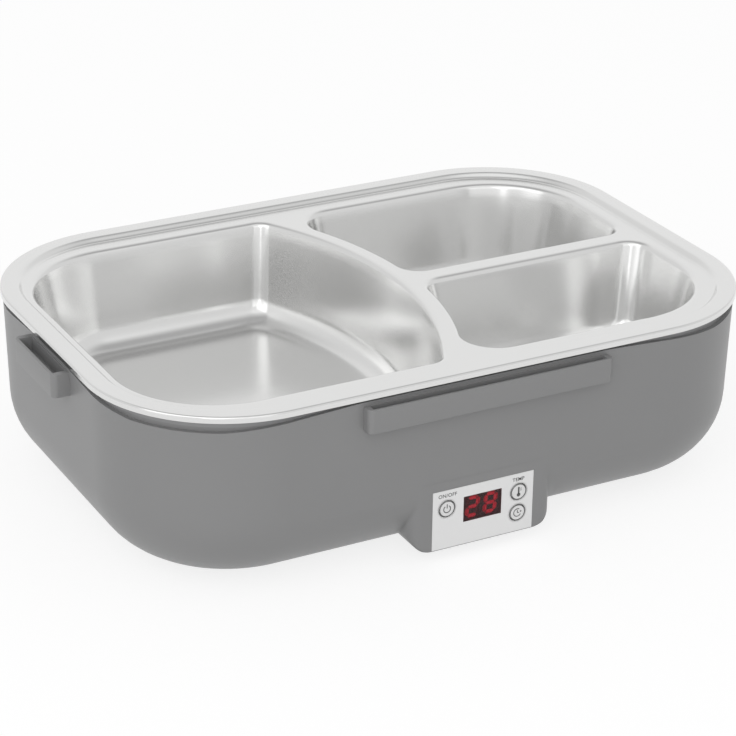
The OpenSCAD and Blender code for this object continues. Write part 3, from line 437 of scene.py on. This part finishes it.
def changeMesh(mesh, *steps):
    # each step works on the whole mesh as a bmesh
    bm = bmesh.new()
    bm.from_mesh(mesh)
    for step in steps:
        step(bm)
    bm.to_mesh(mesh)
    bm.free()


def weldWithin(reach):
    return lambda bm: bmesh.ops.remove_doubles(bm, verts=bm.verts, dist=reach)


def turnOutwards(bm):
    # for closed meshes only
    bmesh.ops.recalc_face_normals(bm, faces=bm.faces)


def bakeModifiers(piece):
    graph = bpy.context.evaluated_depsgraph_get()
    baked = bpy.data.meshes.new_from_object(piece.evaluated_get(graph))
    piece.modifiers.clear()
    piece.data = baked


def makeSweptRings():
    # one closed section swept round a circle and repeated at every place
    tree = bpy.data.node_groups.new("sweptRings", "GeometryNodeTree")
    for label, kind in (("Places", "Geometry"), ("Radius", "Float"), ("Steps", "Int"),
                        ("Section", "Object"), ("Turn", "Vector"), ("Material", "Material")):
        tree.interface.new_socket(label, in_out="INPUT", socket_type="NodeSocket" + kind)
    tree.interface.new_socket("Geometry", in_out="OUTPUT", socket_type="NodeSocketGeometry")
    given, out = tree.nodes.new("NodeGroupInput"), tree.nodes.new("NodeGroupOutput")
    path = tree.nodes.new("GeometryNodeCurvePrimitiveCircle")
    section = tree.nodes.new("GeometryNodeObjectInfo")
    outline = tree.nodes.new("GeometryNodeMeshToCurve")
    sweep = tree.nodes.new("GeometryNodeCurveToMesh")
    spread = tree.nodes.new("GeometryNodeInstanceOnPoints")
    real = tree.nodes.new("GeometryNodeRealizeInstances")
    finish = tree.nodes.new("GeometryNodeSetMaterial")
    for source, label, target, socket in (
            (given, "Radius", path, "Radius"), (given, "Steps", path, "Resolution"),
            (given, "Section", section, "Object"), (section, "Geometry", outline, "Mesh"),
            (path, "Curve", sweep, "Curve"), (outline, "Curve", sweep, "Profile Curve"),
            (given, "Places", spread, "Points"), (sweep, "Mesh", spread, "Instance"),
            (given, "Turn", spread, "Rotation"), (spread, "Instances", real, "Geometry"),
            (real, "Geometry", finish, "Geometry"), (given, "Material", finish, "Material"),
            (finish, "Geometry", out, "Geometry")):
        tree.links.new(source.outputs[label], target.inputs[socket])
    return tree


sweptRings = makeSweptRings()


def ringsAt(name, places, radius, section, material, turn=(0, 0, 0), steps=72):
    # section holds points (outwards from the radius, along the axis), all in millimetres
    piece = newPiece(name, [Vector(place) * mm for place in places], [], material)
    outline = bpy.data.meshes.new(name + "Section")
    outline.from_pydata([(x * mm, -z * mm, 0) for x, z in section],
                        [(i, (i + 1) % len(section)) for i in range(len(section))], [])
    source = addObject(name + "Section", outline)
    values = {"Radius": radius * mm, "Steps": steps, "Section": source, "Turn": turn,
              "Material": material}
    repeat = piece.modifiers.new("rings", "NODES")
    repeat.node_group = sweptRings
    for item in sweptRings.interface.items_tree:
        if item.in_out == "INPUT" and item.name in values:
            repeat[item.identifier] = values[item.name]
    bakeModifiers(piece)
    bpy.data.objects.remove(source)
    mesh = piece.data
    mesh.polygons.foreach_set("material_index", [0] * len(mesh.polygons))
    while len(mesh.materials) > 1:
        mesh.materials.pop()
    changeMesh(mesh, turnOutwards)
    smoothPiece(piece, 35)
    return piece


def smoothCopy(node, name, material, angle, body, slotName, *steps):
    # the node's own shape, welded so that its curves shade smoothly
    mesh = nodes[node].data.copy()
    changeMesh(mesh, weldWithin(2e-6), *steps)
    mesh.materials.clear()
    mesh.materials.append(material)
    for face in mesh.polygons:
        face.material_index = 0
    if "custom_normal" in mesh.attributes:
        mesh.attributes.remove(mesh.attributes["custom_normal"])
    piece = addObject(name, mesh)
    smoothPiece(piece, angle)
    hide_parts(node)
    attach(piece, body)


def roundEdges(bm, wanted, radius, steps=3, flatWithin=0.0008, sharpFrom=35):
    # rounds the sharp outer edges whose middle, in millimetres, wanted() picks
    bmesh.ops.dissolve_limit(bm, angle_limit=flatWithin, verts=bm.verts, edges=bm.edges)
    edges = [edge for edge in bm.edges
             if len(edge.link_faces) == 2 and edge.is_convex
             and edge.calc_face_angle(0) > math.radians(sharpFrom)
             and wanted((edge.verts[0].co + edge.verts[1].co) / 2 / mm)]
    bmesh.ops.bevel(bm, geom=edges, offset=radius * mm, segments=steps, profile=0.5,
                    affect="EDGES", clamp_overlap=True)
    return len(edges)


# the steel tray in millimetres, with its draft in degrees
tray = {
    "halfX": 125.0, "halfY": 87.1, "cornerR": 51.0,
    "crownZ": 70.2, "shelfZ": 68.4, "lipH": 2.3, "rollW": 0.85, "rollH": 0.85, "lipTop": 0.25,
    "flangeW": 8.6, "stepW": 2.6, "sheet": 0.7,
    "depth": 36.5, "draft": 12.0, "edgeR": 2.4, "footR": 10.5,  # walls of the compartments
    "left": -113.4, "right": 110.5, "side": 70.5,  # where the compartments end at the shelf
    "outerR": 36.0, "mainR": 7.0, "sideR": 12.0, "shortR": 8.0, "floorR": 8.0,
    "dividerX": 10.2, "dividerR": 135.0, "dividerT": 8.0,  # curved divider
    "shortBack": 1.95, "shortFront": -7.95,  # faces of the short straight one
    "support": 0.12, "floorIn": 0.3,  # strips that keep the flat faces' shading flat
    "edgeSteps": 8, "wallSteps": 8, "crownSteps": 4, "curveSteps": 12, "cornerSteps": 30,
    "mainSteps": 40, "sideSteps": 18,  # along the curved divider
}


def cornerAt(r, inset):
    # corners get smaller on the way down, though not below the floor's
    return max(r - inset, min(r, tray["floorR"]))


def mainOutline(inset):
    curve, corner = tray["curveSteps"], tray["cornerSteps"]
    left, top = tray["left"] + inset, tray["side"] - inset
    wallR = tray["dividerR"] - inset
    centreX = tray["dividerX"] - tray["dividerR"]
    outer, inner = cornerAt(tray["outerR"], inset), cornerAt(tray["mainR"], inset)
    cy = top - inner
    cx = centreX + math.sqrt((wallR - inner) ** 2 - cy * cy)
    turn = math.degrees(math.atan2(cy, cx - centreX))
    return (arcPoints(cx, cy, inner, 90, turn, curve)
            + arcPoints(centreX, 0, wallR, turn, -turn, tray["mainSteps"])[1:-1]
            + arcPoints(cx, -cy, inner, -turn, -90, curve)
            + lineBetween((cx, -top), (left + outer, -top), 30)
            + arcPoints(left + outer, -top + outer, outer, 270, 180, corner)
            + lineBetween((left, -top + outer), (left, top - outer), 24)
            + arcPoints(left + outer, top - outer, outer, 180, 90, corner)
            + lineBetween((left + outer, top), (cx, top), 30))


def lineBetween(a, b, steps):
    return [(a[0] + (b[0] - a[0]) * i / steps, a[1] + (b[1] - a[1]) * i / steps)
            for i in range(1, steps)]


def sideOutline(inset, inner, sign):
    # back compartment for sign 1, front one for sign -1; inner is the short divider's face
    curve = tray["curveSteps"]
    right, top, low = tray["right"] - inset, tray["side"] - inset, inner * sign + inset
    wallR = tray["dividerR"] + tray["dividerT"] + inset
    centreX = tray["dividerX"] - tray["dividerR"]
    outer = cornerAt(tray["outerR"], inset)
    tip, short = cornerAt(tray["sideR"], inset), cornerAt(tray["shortR"], inset)
    tipY, lowY = top - tip, low + short
    tipX = centreX + math.sqrt((wallR + tip) ** 2 - tipY * tipY)
    lowX = centreX + math.sqrt((wallR + short) ** 2 - lowY * lowY)
    tipTurn = math.degrees(math.atan2(tipY, tipX - centreX))
    lowTurn = math.degrees(math.atan2(lowY, lowX - centreX))
    points = (arcPoints(right - outer, top - outer, outer, 90, 0, tray["cornerSteps"])
              + lineBetween((right, top - outer), (right, low + short), 10)
              + arcPoints(right - short, low + short, short, 0, -90, curve)
              + lineBetween((right - short, low), (lowX, low), 28)
              + arcPoints(lowX, lowY, short, 270, 180 + lowTurn, curve)
              + arcPoints(centreX, 0, wallR, lowTurn, tipTurn, tray["sideSteps"])[1:-1]
              + arcPoints(tipX, tipY, tip, 180 + tipTurn, 90, curve)
              + lineBetween((tipX, top), (right - outer, top), 24))
    return [(x, y * sign) for x, y in points]


def pocketSection():
    # (inset, height) from the shelf over the edge, down the wall and onto the floor
    draft = math.radians(tray["draft"])
    edge, foot = tray["edgeR"], tray["footR"]
    shelf, floor = tray["shelfZ"], tray["shelfZ"] - tray["depth"]
    section = [(-edge - tray["support"], shelf)]
    for i in range(tray["edgeSteps"] + 1):
        a = (math.pi / 2 - draft) * i / tray["edgeSteps"]
        section.append((-edge + edge * math.sin(a), shelf - edge * (1 - math.cos(a))))
    wallIn = edge * math.cos(draft) - edge
    wallTop = shelf - edge * (1 - math.sin(draft))
    footTop = floor + foot * (1 - math.sin(draft))
    for i in range(1, tray["wallSteps"]):
        z = wallTop + (footTop - wallTop) * i / tray["wallSteps"]
        section.append((wallIn + (wallTop - z) * math.tan(draft), z))
    footIn = wallIn + (wallTop - footTop) * math.tan(draft)
    for i in range(tray["curveSteps"] + 1):
        a = draft + (math.pi / 2 - draft) * i / tray["curveSteps"]
        section.append((footIn + foot * (math.cos(draft) - math.cos(a)),
                        floor + foot * (1 - math.sin(a))))
    last = section[-1]
    section.append((last[0] + tray["floorIn"], last[1]))
    return section


def flangeSection():
    # (inset, height) from the lip's lower edge over the crown and down to the shelf
    crown, roll, steps = tray["crownZ"], tray["rollW"], tray["curveSteps"]
    section = [(0.0, crown - tray["lipH"]), (0.0, crown - tray["rollH"] - tray["lipTop"])]
    for i in range(steps + 1):
        a = math.radians(90 - 90 * i / steps)
        section.append((roll - roll * math.sin(a), crown - tray["rollH"] * (1 - math.cos(a))))
    start = tray["flangeW"] - tray["stepW"]
    for i in range(1, tray["crownSteps"]):
        section.append((roll + (start - roll) * i / tray["crownSteps"], crown))
    rise = crown - tray["shelfZ"]
    for i in range(steps + 1):
        t = i / steps
        section.append((start + tray["stepW"] * t,
                        tray["shelfZ"] + rise * (1 + math.cos(math.pi * t)) / 2))
    section.append((tray["flangeW"] + tray["support"], tray["shelfZ"]))
    return section


def makeTray():
    sheet = sheetBuilder()
    rings = [sheet.ring(roundedOutline(tray["halfX"] - inset, tray["halfY"] - inset,
                                       tray["cornerR"] - inset), z)
             for inset, z in flangeSection()]
    for a, b in zip(rings, rings[1:]):
        sheet.join(a, b)
    holes = []
    section = pocketSection()
    for outline in (mainOutline, lambda inset: sideOutline(inset, tray["shortBack"], 1),
                    lambda inset: sideOutline(inset, tray["shortFront"], -1)):
        levels = [sheet.ring(outline(inset), z) for inset, z in section]
        for a, b in zip(levels, levels[1:]):
            sheet.join(a, b)
        sheet.fill(levels[-1])
        holes.append(levels[0])
    sheet.fill(rings[-1], *holes)
    piece = sheet.finish("pressedTray", finishes["satinSteel"])
    solid = piece.modifiers.new("sheet", "SOLIDIFY")
    solid.thickness = tray["sheet"] * mm
    solid.offset = -1
    bakeModifiers(piece)
    smoothPiece(piece, 50)
    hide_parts("food_tray")
    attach(piece, "tray")


makeTray()
print("tray: done")


ledge = {"bottom": 56, "top": 66, "fromX": 124.5, "fromY": 86.6, "edgeR": 0.5}


def roundCasing(bm):
    def onLedge(p):
        aside = abs(p.x) > ledge["fromX"] or abs(p.y) > ledge["fromY"]
        return ledge["bottom"] < p.z < ledge["top"] and aside
    print("ledge edges rounded:", roundEdges(bm, onLedge, ledge["edgeR"]))


smoothCopy("outer_casing", "casingBody", finishes["casingPlastic"], 30, "casing",
           "casing_plastic", roundCasing)
smoothCopy("inner_liner", "heatingWell", finishes["linerPlastic"], 30, "casing", "liner_plastic")

feet = {
    "halfX": 82.0, "halfY": 45.0, "outR": 7.0, "bottomR": 6.2, "midR": 3.5, "holeR": 0.04,
    "coneH": 0.8, "height": 3.5, "edge": 0.25, "grooves": (1.3, 2.5, 3.7, 4.9), "grooveW": 0.5,
    "grooveH": 0.35,  # all in millimetres; the hole in each middle is too small to see
}


def makeFeet():
    # rubber feet whose undersides have rings of ribs
    half, bottom, edge = feet["grooveW"] / 2, feet["bottomR"], feet["edge"]
    section = [(feet["holeR"], 0.0)]
    for r in feet["grooves"]:
        section += [(r - half, 0.0), (r - half * 0.7, feet["grooveH"]),
                    (r + half * 0.7, feet["grooveH"]), (r + half, 0.0)]
    section += [(bottom - edge, 0.0), (bottom - edge * 0.3, edge * 0.3), (bottom, edge),
                (feet["outR"] - 0.1, feet["coneH"] - 0.1), (feet["outR"], feet["coneH"] + 0.1),
                (feet["outR"], feet["height"]), (feet["holeR"], feet["height"])]
    places = [(sx * feet["halfX"], sy * feet["halfY"], 0) for sx in (-1, 1) for sy in (-1, 1)]
    piece = ringsAt("ribbedFeet", places, feet["midR"],
                    [(r - feet["midR"], z) for r, z in section], finishes["footRubber"])
    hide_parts("rubber_feet")
    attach(piece, "casing")


makeFeet()

nodeFinish = {
    "heater_plate": "heaterMetal", "heating_element": "heaterMetal",
    "thermostat": "whiteCeramic", "thermal_fuse": "whiteCeramic",
    "heater_clamp": "platedSteel", "clamp_screws": "platedSteel", "plate_screws": "platedSteel",
    "liner_screws": "platedSteel", "base_screws": "platedSteel", "board_screws": "platedSteel",
    "control_screws": "platedSteel", "inlet_pins": "platedSteel",
    "base_cover": "casingPlastic",
    "power_board": "greenBoard", "control_board": "greenBoard", "power_relay": "blueRelay",
    "filter_capacitor": "yellowCase", "terminal_block": "greenTerminal",
    "tact_switches": "blackPlastic", "display_module": "blackPlastic",
    "inlet_socket": "blackPlastic", "control_label": "labelFilm",
    "power_button": "buttonFilm", "temperature_button": "buttonFilm",
    "timer_button": "buttonFilm", "display_window": "smokedGlass",
    "mains_wires": "brownSleeve",
    "heater_wires": "whiteSleeve", "signal_cable": "whiteSleeve",
}
for node, finish in nodeFinish.items():
    nodes[node].data.materials.clear()
    nodes[node].data.materials.append(finishes[finish])
print("casing and fittings: done")


panel = {
    "lift": 0.02, "sink": 0.01,  # millimetres that prints stand out and reach in
    "ringIn": 3.3, "ringOut": 3.75, "capRingIn": 2.7, "capRingOut": 2.97,
    "wordH": 1.35, "fontShare": 1.4,  # font size over the height of its capitals
    "wordBold": 0.03, "wordDepth": 0.012, "wordOut": 0.008, "wordSpace": 1.08,
    "digitH": 8.4, "digitW": 5.6, "segment": 1.55, "slant": 0.1, "pitch": 7.0,
}


def annulusSector(cx, cz, inner, outer, start, end, steps):
    outside = arcPoints(cx, cz, outer, start, end, steps)
    inside = arcPoints(cx, cz, inner, end, start, steps)
    return outside + inside


def bar(x0, z0, x1, z1, width):
    length = math.dist((x0, z0), (x1, z1))
    nx, nz = -(z1 - z0) / length * width / 2, (x1 - x0) / length * width / 2
    return [(x0 + nx, z0 + nz), (x0 - nx, z0 - nz), (x1 - nx, z1 - nz), (x1 + nx, z1 + nz)]


def disc(cx, cz, r, steps=24):
    return arcPoints(cx, cz, r, 0, 360, steps)[:-1]


def printedRings(name, places, inner, outer, body):
    middle, half = (inner + outer) / 2, (outer - inner) / 2
    rings = ringsAt(name, places, middle,
                    [(-half, -panel["sink"]), (half, -panel["sink"]), (half, panel["lift"]),
                     (-half, panel["lift"])], finishes["printGrey"], (math.radians(90), 0, 0))
    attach(rings, body)


def stampPiece(name, polygons, faceY, lift, sink, material, body):
    # closed flat prints, given in millimetres in the panel's plane
    verts, faces = [], []
    for polygon in polygons:
        n, base = len(polygon), len(verts)
        verts += [(x * mm, faceY - lift * mm, z * mm) for x, z in polygon]
        verts += [(x * mm, faceY + sink * mm, z * mm) for x, z in polygon]
        faces += [list(range(base, base + n)), list(range(base + 2 * n - 1, base + n - 1, -1))]
        faces += [(base + i, base + n + i, base + n + (i + 1) % n, base + (i + 1) % n)
                  for i in range(n)]
    piece = newPiece(name, verts, faces, material)
    changeMesh(piece.data, turnOutwards)
    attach(piece, body)
    return piece


def makeWord(name, word, cx, cz, faceY):
    curve = bpy.data.curves.new(name, "FONT")
    curve.body = word
    curve.align_x = "CENTER"
    curve.align_y = "CENTER"
    curve.size = panel["wordH"] * panel["fontShare"] * mm
    curve.offset = panel["wordBold"] * mm
    curve.extrude = panel["wordDepth"] * mm
    curve.space_character = panel["wordSpace"]
    source = addObject(name + "Source", curve)
    source.rotation_euler = (math.radians(90), 0, 0)
    source.location = (cx * mm, faceY - panel["wordOut"] * mm, cz * mm)
    bpy.context.view_layer.update()
    graph = bpy.context.evaluated_depsgraph_get()
    mesh = bpy.data.meshes.new_from_object(source.evaluated_get(graph))
    mesh.transform(source.matrix_world)
    mesh.materials.clear()
    mesh.materials.append(finishes["printGrey"])
    bpy.data.objects.remove(source)
    changeMesh(mesh, weldWithin(1e-7))  # letters face outwards from the start
    piece = addObject(name, mesh)
    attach(piece, "casing")


def buttonCentre(node):
    low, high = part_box(node)
    return (low[0] + high[0]) / 2 / mm, (low[2] + high[2]) / 2 / mm, low[1]


# shapes of each mark from its button's centre, in millimetres: (x, z, inner, outer, start, end)
# of an arc, (x, z, radius) of a disc, (x, z, x, z, width) of a bar and corners of an arrow head
buttonMarks = {
    "power_button": {"arcs": [(0, -0.1, 1.15, 1.5, 125, 415)], "bars": [(0, 0.2, 0, 1.75, 0.36)]},
    "temperature_button": {
        "discs": [(0, -1.15, 0.72), (0, 1.6, 0.31)],
        "bars": [(0, -0.7, 0, 1.58, 0.62), (0.6, 1.2, 1.15, 1.2, 0.25),
                 (0.6, 0.5, 1.15, 0.5, 0.25)],
    },
    "timer_button": {
        "arcs": [(0, 0, 1.3, 1.62, 60, 330)],
        "bars": [(0, 0, 0, 1.0, 0.28), (-0.05, -0.1, 0.75, -0.1, 0.28)],
        "heads": [((1.05, 0.72), (1.75, 0.3), (1.15, -0.2))],
    },
}
# name, text and place from the button's centre
buttonWords = {
    "power_button": ("switchWord", "ON/OFF", 0.2, 5.0),
    "temperature_button": ("heatWord", "TEMP", -0.2, 4.8),
}


def markShapes(mark, cx, cz):
    shapes = [annulusSector(cx + x, cz + z, inner, outer, start, end, 40)
              for x, z, inner, outer, start, end in mark.get("arcs", ())]
    shapes += [disc(cx + x, cz + z, r) for x, z, r in mark.get("discs", ())]
    shapes += [bar(cx + x0, cz + z0, cx + x1, cz + z1, width)
               for x0, z0, x1, z1, width in mark.get("bars", ())]
    shapes += [[(cx + x, cz + z) for x, z in head] for head in mark.get("heads", ())]
    return shapes


def makeButtonPrints():
    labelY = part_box("control_label")[0][1]
    places = []
    for node, mark in buttonMarks.items():
        x, z, capY = buttonCentre(node)
        places.append((x, labelY / mm, z))
        stampPiece(node.replace("_", "") + "Mark", markShapes(mark, x, z), capY, panel["lift"],
                   panel["sink"], finishes["printGrey"], node)
        printedRings(node.replace("_", "") + "Ring", [(x, capY / mm, z)], panel["capRingIn"],
                     panel["capRingOut"], node)
    printedRings("buttonRings", places, panel["ringIn"], panel["ringOut"], "casing")
    for node, (name, word, aside, rise) in buttonWords.items():
        x, z, _ = buttonCentre(node)
        makeWord(name, word, x + aside, z + rise, labelY)


def segmentShapes(cx, cz):
    # the seven bars of a digit, named a to g, each with pointed ends
    h, w, t = panel["digitH"] / 2, panel["digitW"] / 2, panel["segment"] / 2
    w -= t
    h -= t
    gap = 0.1

    def flat(z):
        return [(-w + gap, z), (-w + gap + t, z - t), (w - gap - t, z - t), (w - gap, z),
                (w - gap - t, z + t), (-w + gap + t, z + t)]

    def upright(x, low, high):
        return [(x, low + gap), (x + t, low + gap + t), (x + t, high - gap - t),
                (x, high - gap), (x - t, high - gap - t), (x - t, low + gap + t)]

    shapes = {"a": flat(h), "b": upright(w, 0, h), "c": upright(w, -h, 0), "d": flat(-h),
              "e": upright(-w, -h, 0), "f": upright(-w, 0, h), "g": flat(0)}
    return {key: [(cx + x + z * panel["slant"], cz + z) for x, z in shape]
            for key, shape in shapes.items()}


def makeDigits():
    low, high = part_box("display_window")
    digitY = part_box("display_digits")[0][1]
    cx, cz = (low[0] + high[0]) / 2 / mm, (low[2] + high[2]) / 2 / mm
    lit, unlit = [], []
    for side, bars in ((-1, "abged"), (1, "abcdefg")):
        for key, shape in segmentShapes(cx + side * panel["pitch"] / 2, cz).items():
            (lit if key in bars else unlit).append(shape)
    piece = stampPiece("litBars", lit, digitY, 0, 0.25, finishes["litSegment"], "casing")
    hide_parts("display_digits")
    stampPiece("darkBars", unlit, digitY, 0, 0.25, finishes["darkSegment"], "casing")


makeButtonPrints()
makeDigits()
print("panel: done")
